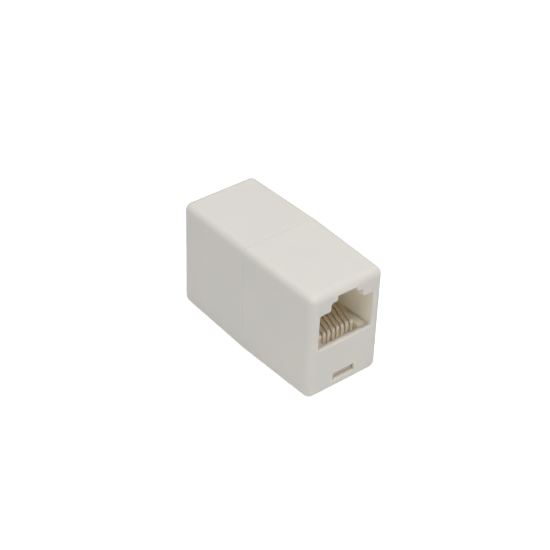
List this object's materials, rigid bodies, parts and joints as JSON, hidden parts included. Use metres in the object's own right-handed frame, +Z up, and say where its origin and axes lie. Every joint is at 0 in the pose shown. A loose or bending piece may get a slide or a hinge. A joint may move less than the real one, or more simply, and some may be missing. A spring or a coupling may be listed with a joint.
{
  "type": "rj45 inline coupler",
  "caption": "White two-part moulded box with a modular plug socket in each end face, joining two network cables in line.",
  "frame": {"origin": "centre of the underside, at the seam between the two halves", "axes": "+Z up, +Y along the coupler from the front socket to the rear socket, +X across it; the front socket opens towards -Y"},
  "size_m": [0.0166, 0.0364, 0.0225],
  "materials": {
    "shell_plastic": "moulded, fine satin",
    "carrier_plastic": "moulded, natural ivory",
    "contact_metal": "stamped strip, pale gold flash over nickel",
    "board_laminate": "glass-epoxy board under green resist",
    "solder": "tin solder"
  },
  "bodies": {
    "root": {"front_shell": "shell_plastic", "rear_shell": "shell_plastic", "front_carrier": "carrier_plastic", "rear_carrier": "carrier_plastic", "circuit_board": "board_laminate", "front_solder_joints": "solder", "rear_solder_joints": "solder", "front_contact_1": "contact_metal", "front_contact_2": "contact_metal", "front_contact_3": "contact_metal", "front_contact_4": "contact_metal", "front_contact_5": "contact_metal", "front_contact_6": "contact_metal", "front_contact_7": "contact_metal", "front_contact_8": "contact_metal", "rear_contact_1": "contact_metal", "rear_contact_2": "contact_metal", "rear_contact_3": "contact_metal", "rear_contact_4": "contact_metal", "rear_contact_5": "contact_metal", "rear_contact_6": "contact_metal", "rear_contact_7": "contact_metal", "rear_contact_8": "contact_metal"}
  },
  "joints": []
}
